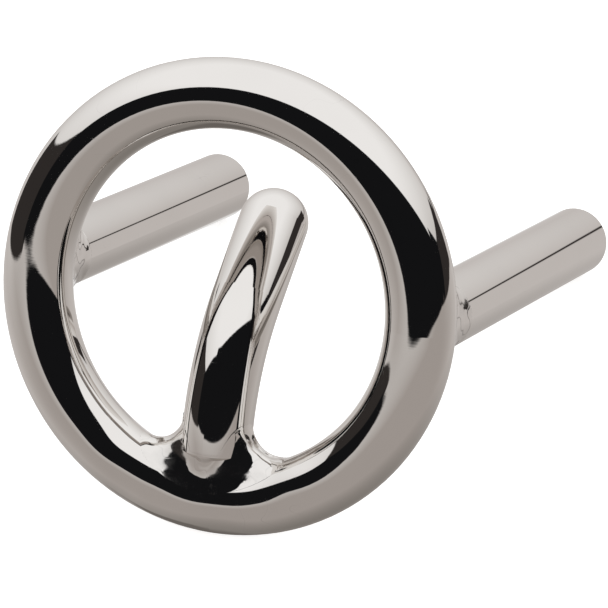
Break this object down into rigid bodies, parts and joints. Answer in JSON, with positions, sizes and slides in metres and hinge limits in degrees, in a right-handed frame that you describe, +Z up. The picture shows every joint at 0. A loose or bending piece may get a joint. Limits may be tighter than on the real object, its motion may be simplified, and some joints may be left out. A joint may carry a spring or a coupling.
{
  "type": "ring with welded prongs",
  "caption": "Polished steel ring of round bar with two straight prongs welded square to its back and a bent prong rising inside its opening.",
  "frame": {"origin": "middle of the footprint, on the surface that the part rests on", "axes": "+Z up; +Y from the ring back along the straight prongs; +X to the right of someone who looks at the ring's front; the part rests on the ring's bottom and on the straight prongs' ends"},
  "size_m": [0.068, 0.0802, 0.0628],
  "materials": {
    "bar": "mirror-polished stainless steel",
    "weld": "weld metal, ground and polished by hand"
  },
  "bodies": {
    "root": {"ring_bar": "bar", "ring_closing_weld": "weld", "left_prong": "bar", "right_prong": "bar", "centre_prong": "bar", "left_prong_weld": "weld", "right_prong_weld": "weld", "centre_prong_weld": "weld"}
  },
  "joints": []
}
